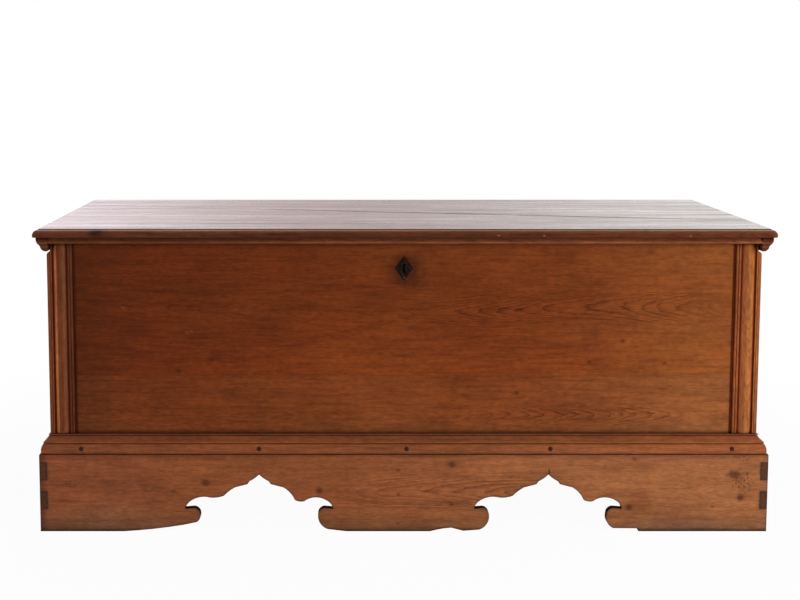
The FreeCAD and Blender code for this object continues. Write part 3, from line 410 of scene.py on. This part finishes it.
def tinted(axis, start, end, before, after, wander=0.25):
    """A change of tone along the piece, from one before start to another after end."""
    def change(t, place, skin):
        drift = t.swing(t.streaky(place, *DRIFT), 0.5, wander)
        along = t.add(t.split(place)[axis], drift)
        return t.tint(skin, t.blend(t.step(along, start, end), (*before, 1), (*after, 1)))
    return change


def banded(axis, places, tones, side=1):
    """Tones that follow each other across a section, each from one place along the axis to the next."""
    half_width = 0.0012  # of the soft border between two tones

    def change(t, place, skin):
        level = t.multiply(t.split(place)[axis], float(side))
        tone = (*tones[0], 1)
        for start, after in zip(places, tones[1:]):
            tone = t.blend(t.step(level, start - half_width, start + half_width), tone, (*after, 1))
        return t.tint(skin, tone)
    return change


def sunk(axis, shallow, deep, tone, side=1):
    """Dirt and painted shade that lie deep in a section: the tone comes in as the coordinate goes from
    shallow to deep.
    """
    def change(t, place, skin):
        level = t.multiply(t.split(place)[axis], float(side))
        out = t.math("ABSOLUTE", t.split(t.facing())[axis])
        return t.tone(skin, t.multiply(t.step(level, shallow, deep), t.step(out, 0.1, 0.35)), tone)
    return change


def fronted(tone):
    """Another tone on faces that look to the front."""
    def change(t, place, skin):
        return t.tone(skin, t.step(t.split(t.facing())["Y"], -0.5, -0.9), tone)
    return change


def downturned(tone):
    """Another tone on faces that don't look up."""
    def change(t, place, skin):
        return t.tone(skin, t.step(t.split(t.facing())["Z"], 0.97, 0.7), tone)
    return change


def highlighted_arris(low, high, tone):
    """A painted highlight on a rounded upper edge: another tone above a height, but not on the flat top."""
    def change(t, place, skin):
        raised = t.step(t.split(place)["Z"], low, high)
        turned = t.step(t.split(t.facing())["Z"], 0.99, 0.9)
        return t.tone(skin, t.multiply(raised, turned), tone)
    return change


def rimmed(reach, tone):
    """A worn, dusty rim along a board's edges."""
    def change(t, place, skin):
        return t.tone(skin, t.near_edge(t.bevelled(reach, samples=6), 0.86), tone)
    return change


def sawn(stain, amount):
    """Edges cut square to the front, soiled and darkened with painted shade."""
    def change(t, place, skin):
        out = t.math("ABSOLUTE", t.split(t.facing())["Y"])
        return t.stain(skin, t.step(out, 0.6, 0.2, low=0.0, high=amount), stain)
    return change


def parted(joint, stain):
    """The dirt-filled joint of two boards."""
    def change(t, place, skin):
        return t.stain(skin, near_line(t, place, **joint), stain)
    return change


def glowing(centre, reach, tone, stretch):
    """A broad soft area of another tone about a point."""
    def change(t, place, skin):
        return t.tone(skin, t.step(t.away(place, centre, stretch), reach, 0.0), tone)
    return change


def stained(centre, reach, stain, amount, stretch=SAME, ragged=0.35):
    """A soft, ragged stain about a point."""
    def change(t, place, skin):
        torn = t.noise(place, 1.6 / reach, detail=3.0, roughness=0.6)
        away = t.add(t.away(place, centre, stretch), t.swing(torn, 0.5, reach * ragged * 2.0))
        return t.stain(skin, t.multiply(t.step(away, reach, reach * 0.25), amount), stain)
    return change


def speckled(centre, reach, scale, stain, amount, stretch):
    """A cluster of dark pits about a point, scale of them to the metre."""
    def change(t, place, skin):
        pits = t.step(t.noise(place, scale, detail=2.0, roughness=0.6), 0.52, 0.6)
        share = t.multiply(t.step(t.away(place, centre, stretch), reach, reach * 0.4), pits)
        return t.stain(skin, t.multiply(share, amount), stain)
    return change


def marked(spots, reach, stain, amount):
    """Small knots, dents and flecks, longer than high and given by their places along and up."""
    shortening = 0.7  # of distances along, which makes each mark longer

    def change(t, place, skin):
        x, _, z = t.split(place)
        share = 0.0
        for along, up in spots:
            offset = t.join(t.multiply(t.subtract(x, along), shortening), 0.0, t.subtract(z, up))
            share = t.math("MAXIMUM", share, t.step(t.vector("LENGTH", offset), reach, reach * 0.2))
        return t.stain(skin, t.multiply(share, amount), stain)
    return change


# ---------------------------------------------------------------- the chest's pieces


def dress(material, *names):
    """Gives the named pieces one material."""
    for name in names:
        mesh = nodes[name].data
        mesh.materials.clear()
        mesh.materials.append(material)


def dress_front():
    """The front has painted shade towards the left, darker and redder, and painted light towards the right.
    """
    # painted shade at the left and painted light at the right, over each whole board
    upper_shade_to_light = tinted("X", -0.72, 0.85, before=(0.71, 0.57, 0.47), after=(1.08, 1.28, 1.38))
    lower_shade_to_light = tinted("X", -0.72, 0.85, before=(0.78, 0.64, 0.54), after=(1.04, 1.14, 1.22))
    left_shade = tinted("X", -0.715, -0.56, before=(0.74, 0.86, 0.88), after=(1.02, 1.06, 1.04), wander=0.03)
    middle_warmth = tinted("X", -0.08, 0.2, before=SAME, after=(0.94, 0.86, 0.8), wander=0.06)
    right_light = tinted("X", 0.3, 0.68, before=SAME, after=(1.14, 1.38, 1.66), wander=0.06)
    pale_patch = glowing(on_front(-0.11, 0.36), 0.26, tone=(1.26, 1.24, 1.16), stretch=(1.0, 0.3, 1.5))
    tone_changes = (left_shade, middle_warmth, right_light, pale_patch)
    common = dict(specular=0.12, gloss=0.4, grime_and_shade=0.7, raw=(0, 1, 0))

    low_light = tinted("Z", 0.35, 0.47, before=(1.12, 1.12, 1.1), after=(0.96, 0.97, 0.97), wander=0.03)
    worn_lock = stained(on_front(0.004, 0.57), 0.055, stain=(30, 11, 6), amount=0.6)
    knots = marked(((-0.418, 0.375), (-0.491, 0.35), (0.477, 0.417), (0.569, 0.367), (0.405, 0.37)),
                   0.006, stain=(60, 24, 10), amount=0.55)
    scratches = marked(((-0.471, 0.435), (-0.462, 0.438), (-0.61, 0.49), (0.16, 0.6)),
                       0.005, stain=(132, 74, 44), amount=0.35)
    smudges = (stained(on_front(-0.41, 0.385), 0.02, stain=(72, 26, 14), amount=0.35),
               stained(on_front(0.172, 0.46), 0.016, stain=(66, 24, 14), amount=0.4, stretch=(0.7, 1.0, 1.0)))
    upper = wood("front_upper_wood", seed=2.1, pith=(-0.259, 0.487), ring=0.0038, taper=-0.08, waver=0.03,
                 figure=0.7, band=(0.03, 0.02, 0.7), early=(126, 58, 20), late=(70, 24, 6),
                 extra=(upper_shade_to_light, *tone_changes, low_light, worn_lock, knots, scratches, *smudges),
                 **common)
    dress(upper, "front_board_upper")

    dusty_foot = tinted("Z", 0.222, 0.262, before=(1.0, 1.12, 1.32), after=SAME, wander=0.01)
    low_shade = tinted("Z", 0.26, 0.335, before=SAME, after=(0.94, 0.92, 0.92), wander=0.02)
    low_knots = marked(((0.247, 0.301),), 0.006, stain=(52, 22, 12), amount=0.6)
    lower = wood("front_lower_wood", seed=1.3, pith=(-0.262, 0.2515), ring=0.003, taper=0.1, waver=0.016,
                 figure=0.85, band=(0.018, 0.14, 0.66), early=(135, 70, 31), late=(84, 34, 12),
                 extra=(lower_shade_to_light, *tone_changes, dusty_foot, low_shade, low_knots), **common)
    dress(lower, "front_board_lower")


def dress_case():
    """The ends are stained like the front. The back and the bottom were never finished."""
    for side, turn in (("left", 1), ("right", -1)):
        for course, height in (("lower", 0.25), ("upper", 0.47)):
            name = f"end_board_{side}_{course}"
            dress(wood(f"{name}_wood", axis="y", seed=3.0 + turn + height, pith=(-turn * 0.70, height),
                       early=(134, 69, 31), late=(80, 32, 12), specular=0.12, gloss=0.4, grime_and_shade=0.7,
                       raw=(turn, 0, 0)), name)
    for course, height in (("lower", 0.25), ("upper", 0.5)):
        name = f"back_board_{course}"
        dress(wood(f"{name}_wood", seed=6.0 + height, pith=(0.24, height), early=(150, 104, 66),
                   late=(104, 64, 38), specular=0.15, gloss=0.6, grime_and_shade=0.8), name)
    for place in range(1, 6):
        name = f"bottom_board_{place}"
        dress(wood(f"{name}_wood", axis="y", seed=10.0 + place, pith=(0.14, -0.6 + place * 0.2),
                   early=(176, 138, 96), late=(130, 90, 56), specular=0.15, gloss=0.65), name)


def dress_lid():
    """The top is varnished and streaked, and shows the room. Its arrises are rubbed pale, and its rounded
    upper edge and right end carry painted highlights.
    """
    red_streak = stained((-0.15, 0.145, LID_TOP), 0.011, stain=(120, 24, 20), amount=0.5,
                         stretch=(0.22, 1.0, 1.0))
    flecks = marked(((0.2, 0.652), (0.61, 0.651), (0.297, 0.652)), 0.0026, stain=(150, 110, 84), amount=0.7)
    scorch = stained((-0.659, -0.314, 0.661), 0.022, stain=(24, 14, 12), amount=0.7)
    edge_fade = tinted("X", -0.75, 0.3, before=(1.25, 1.3, 1.4), after=(0.95, 0.95, 0.95))
    underside_shade = tinted("Z", 0.65, 0.66, before=(0.78, 0.74, 0.7), after=(0.9, 1.1, 1.22), wander=0.0)
    # painted highlight along the lid's rounded upper edge
    arris_highlight = highlighted_arris(0.657, 0.662, tone=(1.4, 1.9, 2.4))
    # painted highlight on the lid's rounded right end
    end_highlight = tinted("X", 0.784, 0.795, before=SAME, after=(1.4, 1.8, 2.2), wander=0.0)
    changes = (parted(LID_JOINT, stain=(14, 6, 5)), red_streak, downturned((0.57, 0.465, 0.37)), edge_fade,
               underside_shade, arris_highlight, end_highlight, flecks, scorch)
    top = dict(early=(134, 74, 46), late=(76, 34, 20), streak=0.8, line=1.2, fibre=0.6, mottle=0.3,
               patch=(1.3, 32.0), specular=0.7, gloss=0.23, gloss_streak=0.3, gloss_line=0.32,
               gloss_patch=0.5, joint=LID_JOINT, raw=(0, 0, -1), raw_begins=-0.30, extra=changes)
    dress(wood("lid_front_wood", seed=21.0, pith=(-0.12, 0.61), taper=0.02, **top), "lid_front_board")
    dress(wood("lid_back_wood", seed=22.4, pith=(0.12, 0.60), taper=-0.015, **top), "lid_back_board")

    # painted shade towards the left and painted light towards the right
    lip_shade_to_light = tinted("X", -0.7, 0.3, before=(0.58, 0.59, 0.7), after=(0.88, 0.94, 1.18))
    lip_shade = tinted("Z", 0.639, 0.645, before=SAME, after=(0.62, 0.55, 0.5), wander=0.0)
    dress(wood("lid_lip_wood", seed=23.0, pith=(-0.27, 0.60), early=(148, 82, 44), late=(98, 46, 22),
               specular=0.15, gloss=0.4, grime_and_shade=0.3, extra=(lip_shade_to_light, lip_shade)), "lid_front_moulding")

    # painted shade and highlights in bands across the cleats, drawing a moulded profile on their flat ends
    section = banded("Z", places=(0.6245, 0.6295, 0.632, 0.6365, 0.642),
                     tones=((0.72, 0.78, 0.8), (1.3, 1.5, 1.5), (0.28, 0.22, 0.18), (1.4, 1.5, 1.4),
                            (0.7, 0.64, 0.54), (0.32, 0.26, 0.2)))
    for side, seed in (("left", 24.0), ("right", 25.0)):
        dress(wood(f"lid_cleat_{side}_wood", axis="y", seed=seed, pith=(0.76, 0.60), early=(132, 72, 40),
                   late=(82, 38, 20), specular=0.12, gloss=0.45, extra=(section,)), f"lid_cleat_{side}")


def dress_strips():
    """The reeded strips hold soiling and painted shade in their grooves, with painted highlights towards the
    outer edges of the reeding and painted shade further in.
    """
    strip = dict(axis="z", pith=(0.3, 0.7), ring=0.0022, early=(152, 85, 46), late=(97, 44, 23),
                 specular=0.08, gloss=0.36)
    # dirt and painted shade deep in the grooves
    filth_and_shade = (0.6, 0.14, 0.04)
    # painted highlights near the outer edge of each strip's broad reed, and painted shade with dirt further
    # in
    reed_light_and_shade = {"left": dict(places=(0.729, 0.74, 0.7515, 0.7578),
                          tones=((0.42, 0.44, 0.52), (0.66, 0.8, 1.0), (0.56, 0.54, 0.54), (1.5, 1.85, 2.2),
                                 (0.8, 0.75, 0.75))),
             "right": dict(places=(0.744,), tones=((0.95, 1.0, 0.96), (1.22, 1.46, 1.2)))}
    # painted shade on the left flanks' fronts and painted light on the right ones
    flank_light_and_shade = {"left": (0.6, 0.6, 0.62), "right": (1.0, 1.15, 1.25)}
    for side, sign in (("left", -1), ("right", 1)):
        front, flank = f"corner_strip_front_{side}", f"corner_strip_side_{side}"
        changes = (banded("X", side=sign, **reed_light_and_shade[side]), sunk("Y", -0.2893, -0.2878, filth_and_shade))
        dress(wood(f"{front}_wood", seed=50.0 + sign, extra=changes, **strip), front)
        changes = (sunk("X", 0.7703, 0.7688, filth_and_shade, side=sign), fronted(flank_light_and_shade[side]))
        dress(wood(f"{flank}_wood", seed=55.0 + sign, extra=changes, **strip), flank)


def dress_base_moulding():
    base = dict(early=(146, 78, 42), late=(94, 44, 22), specular=0.2, gloss=0.38, grime_and_shade=0.6)
    # painted shade towards the left and painted light towards the right
    base_shade_to_light = tinted("X", -0.7, 0.7, before=(0.92, 0.95, 0.98), after=(1.12, 1.24, 1.24))
    # painted shade in the cove at the moulding's top
    cove_shade = tinted("Z", 0.196, 0.206, before=SAME, after=(0.74, 0.75, 0.84), wander=0.0)
    dress(wood("base_front_wood", seed=41.0, pith=(-0.34, 0.13), extra=(base_shade_to_light, cove_shade), **base),
          "base_moulding_front")
    for side, seed in (("left", 42.0), ("right", 43.0)):
        name = f"base_moulding_{side}"
        dress(wood(f"{name}_wood", axis="y", seed=seed, pith=(0.8, 0.13), **base), name)


def plinth_marks():
    """The knots, stains and pits of the plinth's front, in the order in which they lie over each other."""
    halos = marked(((-0.431, 0.1084), (-0.183, 0.0909), (0.105, 0.1496), (0.492, 0.0541), (0.7345, 0.0755)),
                   0.012, stain=(94, 42, 18), amount=0.5)
    knots = marked(((-0.501, 0.0895), (-0.0116, 0.136), (-0.0116, 0.083), (-0.0125, 0.018), (0.1046, 0.06),
                    (0.501, 0.162), (0.674, 0.056)), 0.005, stain=(60, 20, 6), amount=0.45)
    smudge = stained(on_plinth(0.512, 0.07), 0.034, stain=(112, 52, 28), amount=0.35)
    bruise = stained(on_plinth(0.7195, 0.127), 0.017, stain=(78, 44, 30), amount=0.8,
                     stretch=(0.75, 1.0, 1.3))
    pits = speckled(on_plinth(0.741, 0.112), 0.036, scale=290.0, stain=(62, 34, 22), amount=0.65,
                    stretch=(0.9, 1.0, 0.9))
    rim_pits = speckled(on_plinth(0.735, 0.164), 0.022, scale=290.0, stain=(66, 36, 24), amount=0.55,
                        stretch=(0.8, 1.0, 2.0))
    foot_pits = speckled(on_plinth(-0.726, 0.105), 0.022, scale=230.0, stain=(62, 34, 22), amount=0.6,
                         stretch=(0.8, 1.0, 1.6))
    crack = stained(on_plinth(0.3165, 0.133), 0.012, stain=(58, 28, 16), amount=0.75, stretch=(3.6, 1.0, 1.0),
                    ragged=0.15)
    return halos, knots, smudge, bruise, pits, rim_pits, foot_pits, crack


def dress_plinth():
    """The plinth is worn and dusty at its foot, with painted shade towards the left and painted light towards
    the right.
    """
    trodden = tinted("Z", 0.0, 0.055, before=(0.76, 0.88, 1.04), after=SAME, wander=0.03)
    # painted shade towards the left and painted light towards the right
    plinth_shade_to_light = tinted("X", -0.7, 0.7, before=(0.96, 0.86, 0.86), after=(1.15, 1.33, 1.48))
    # painted shadow of the base moulding along the plinth's top
    moulding_shadow = tinted("Z", 0.152, 0.171, before=SAME, after=(0.8, 0.74, 0.74), wander=0.012)
    greyed = tinted("X", -0.62, -0.4, before=(1.0, 1.0, 1.12), after=(0.98, 0.97, 0.94), wander=0.05)
    worn_foot = glowing(on_plinth(-0.64, 0.02), 0.24, tone=(0.95, 1.18, 1.34), stretch=(1.0, 0.3, 3.0))
    # the left end darker: dark end grain with painted shade
    left_end_grain_and_shade = tinted("X", -0.79, -0.773, before=(0.6, 0.58, 0.62), after=SAME, wander=0.008)
    scuffed = glowing(on_plinth(0.62, 0.0), 0.2, tone=(0.62, 0.66, 0.85), stretch=(1.0, 0.3, 3.2))
    rim = rimmed(0.01, tone=(0.5, 0.68, 1.12))
    # the cut faces of the arches, ends and top, soiled and darkened with painted shade
    cut = sawn(stain=(34, 22, 13), amount=0.85)
    skirt = dict(early=(151, 88, 50), late=(98, 50, 26), specular=0.15, gloss=0.5)
    changes = (trodden, plinth_shade_to_light, moulding_shadow, greyed, worn_foot, left_end_grain_and_shade, scuffed, *plinth_marks(), rim, cut)
    dress(wood("plinth_front_wood", seed=51.0, pith=(-0.284, 0.084), ring=0.0036, taper=-0.05, waver=0.03,
               figure=0.75, band=(0.035, -0.16, 0.4), raw=(0, 1, 0), extra=changes, **skirt), "plinth_front")
    for side, turn in (("left", 1), ("right", -1)):
        name = f"plinth_{side}"
        dress(wood(f"{name}_wood", axis="y", seed=53.0 + turn, pith=(-turn * 0.74, 0.09), raw=(turn, 0, 0),
                   extra=(trodden, rim, fronted((0.72, 0.76, 0.86))), **skirt), name)


def dress_hidden_frame():
    """The plinth's back, battens and blocks were never finished."""
    hidden = dict(early=(160, 118, 78), late=(118, 78, 48), specular=0.15, gloss=0.65)
    dress(wood("plinth_back_wood", seed=56.0, pith=(0.3, 0.05), **hidden), "plinth_back")
    for place, (side, axis) in enumerate((("front", "x"), ("back", "x"), ("left", "y"), ("right", "y"))):
        name = f"batten_{side}"
        dress(wood(f"{name}_wood", axis=axis, seed=60.0 + place, pith=(0.2, 0.1), **hidden), name)
    dress(wood("block_wood", axis="z", seed=66.0, pith=(0.1, 0.1), **hidden),
          "corner_block_back_left", "corner_block_back_right", "corner_block_front_left",
          "corner_block_front_right", "foot_block_middle")


def dress_fasteners():
    peg = dict(axis="y", ring=0.0015, specular=0.15, gloss=0.5)
    dress(wood("moulding_peg_wood", seed=70.0, early=(60, 29, 18), late=(36, 16, 9), **peg), "moulding_pegs")
    dress(wood("plinth_peg_wood", seed=71.0, early=(146, 72, 34), late=(128, 62, 29), **peg), "plinth_pegs")
    dress(iron("wrought_iron_skin", base=(12, 7, 4), seed=1.0, rust=(40, 26, 16), patch=150.0, gloss=0.65,
               metallic=0.1, specular=0.15),
          "hinge_leaf_left", "hinge_leaf_right", "hinge_strap_left", "hinge_strap_right", "hinge_pin_left",
          "hinge_pin_right", "escutcheon")
    dress(iron("nail_skin", base=(26, 22, 20), seed=2.0),
          "hinge_leaf_nails", "hinge_strap_nails", "lock_nails", "staple_nails")
    dress(iron("lock_skin", base=(92, 88, 84), seed=3.0, rust=(70, 48, 34), gloss=0.42, metallic=0.9),
          "lock_plate", "lock_cover", "lock_bolt", "lock_pin", "lock_spring", "lock_staple")
    rusted_above = tinted("Z", 0.56, 0.58, before=SAME, after=(0.5, 0.12, 0.08), wander=0.0)
    dress(iron("escutcheon_nail_skin", base=(96, 84, 74), seed=4.0, rust=(70, 52, 42), gloss=0.7,
               metallic=0.0, specular=0.2, extra=(rusted_above,)), "escutcheon_nails")


# ---------------------------------------------------------------- studio


def make_floor():
    """A white sheet that keeps the chest's shadow near it and turns pure white further off."""
    reach = 40.0
    mesh = bpy.data.meshes.new("floor")
    corners = [(-reach, -reach, 0), (reach, -reach, 0), (reach, reach, 0), (-reach, reach, 0)]
    mesh.from_pydata(corners, [], [(0, 1, 2, 3)])
    floor = bpy.data.objects.new("floor", mesh)
    bpy.context.scene.collection.objects.link(floor)
    material, t = new_material("white_paper")
    paper = t.node("ShaderNodeBsdfDiffuse", {"Color": (0.86, 0.86, 0.86, 1)})
    glow = t.node("ShaderNodeEmission", {"Color": WHITE, "Strength": 1.0})
    seen = t.node("ShaderNodeLightPath").outputs["Is Camera Ray"]
    whiteness = t.step(t.vector("LENGTH", t.place()), 0.8, 2.0, low=0.96, high=1.0)
    mixed = t.node("ShaderNodeMixShader", {
        SHADER_SHARE: t.multiply(seen, whiteness), SHADER_BELOW: paper.outputs[0],
        SHADER_ABOVE: glow.outputs[0]})
    t.node("ShaderNodeOutputMaterial", {"Surface": mixed.outputs[0]})
    mesh.materials.append(material)


def make_world(fill, front_glare, back_glare):
    """White to the camera, a soft fill for the chest, and a room that only the varnish shows.

    The room is dark in front and white behind, brighter to both sides, rose in the middle, lilac at the left
    and neutral at the right.
    """
    rose, lilac = (1, 0.9, 0.925, 1), (1, 0.93, 0.985, 1)
    world = bpy.data.worlds.new("studio")
    bpy.context.scene.world = world
    world.use_nodes = True
    world.node_tree.nodes.clear()
    t = Tree(world.node_tree)
    path = t.node("ShaderNodeLightPath").outputs
    toward = t.split(t.node("ShaderNodeTexCoord").outputs["Generated"])
    left_flank = t.step(toward["X"], 0.0, -0.28, low=0.99, high=1.85)
    right_flank = t.step(toward["X"], 0.03, 0.3, low=0.0, high=0.48)
    depth = t.step(toward["Y"], -0.2, 0.4, low=front_glare, high=back_glare)
    glare = t.multiply(depth, t.add(left_flank, right_flank))
    shiny = t.math("MAXIMUM", path["Is Glossy Ray"], path["Is Transmission Ray"])
    level = t.add(t.multiply(shiny, t.subtract(glare, fill)), fill)
    level = t.math("MAXIMUM", level, path["Is Camera Ray"])
    tinge = t.blend(t.step(toward["X"], -0.04, -0.2), rose, lilac)
    tinge = t.blend(t.step(toward["X"], 0.03, 0.24), tinge, WHITE)
    hue = t.blend(path["Is Glossy Ray"], WHITE, tinge)
    back = t.node("ShaderNodeBackground", {"Color": hue, "Strength": level})
    t.node("ShaderNodeOutputWorld", {"Surface": back.outputs[0]})


def make_lamp(name, place, target, size, power):
    """A soft box aimed at a point, kept out of the varnish's reflections."""
    data = bpy.data.lights.new(name, "AREA")
    data.shape = "RECTANGLE"
    data.size, data.size_y = size
    data.energy = power
    lamp = bpy.data.objects.new(name, data)
    lamp.visible_glossy = False
    lamp.location = place
    lamp.rotation_euler = (Vector(target) - Vector(place)).to_track_quat("-Z", "Y").to_euler()
    bpy.context.scene.collection.objects.link(lamp)


def make_studio():
    make_floor()
    make_world(fill=0.38, front_glare=0.15, back_glare=1.0)
    make_lamp("key", place=(2.6, -2.2, 1.1), target=(0.2, 0, 0.3), size=(1.4, 1.4), power=74)
    make_lamp("fill", place=(-2.6, -2.0, 1.1), target=(-0.2, 0, 0.3), size=(1.2, 1.2), power=17)


def make_camera():
    """The viewing angle, worked out from where the chest's own edges fall in the picture."""
    eye = (-0.1322, -2.9966, 1.0002)
    tilt_down = math.radians(5.5)
    focal_pixels, picture_width, sensor = 1265.9, 800, 36.0
    data = bpy.data.cameras.new("camera")
    data.sensor_width = sensor
    data.lens = sensor * focal_pixels / picture_width
    data.shift_x = 0.07125
    data.shift_y = -0.133
    camera = bpy.data.objects.new("camera", data)
    camera.location = eye
    camera.rotation_euler = (math.pi / 2 - tilt_down, 0, 0)
    bpy.context.scene.collection.objects.link(camera)
    bpy.context.scene.camera = camera


dress_front()
dress_case()
dress_lid()
dress_strips()
dress_base_moulding()
dress_plinth()
dress_hidden_frame()
dress_fasteners()
make_studio()
make_camera()
bpy.context.scene.view_settings.view_transform = "Standard"
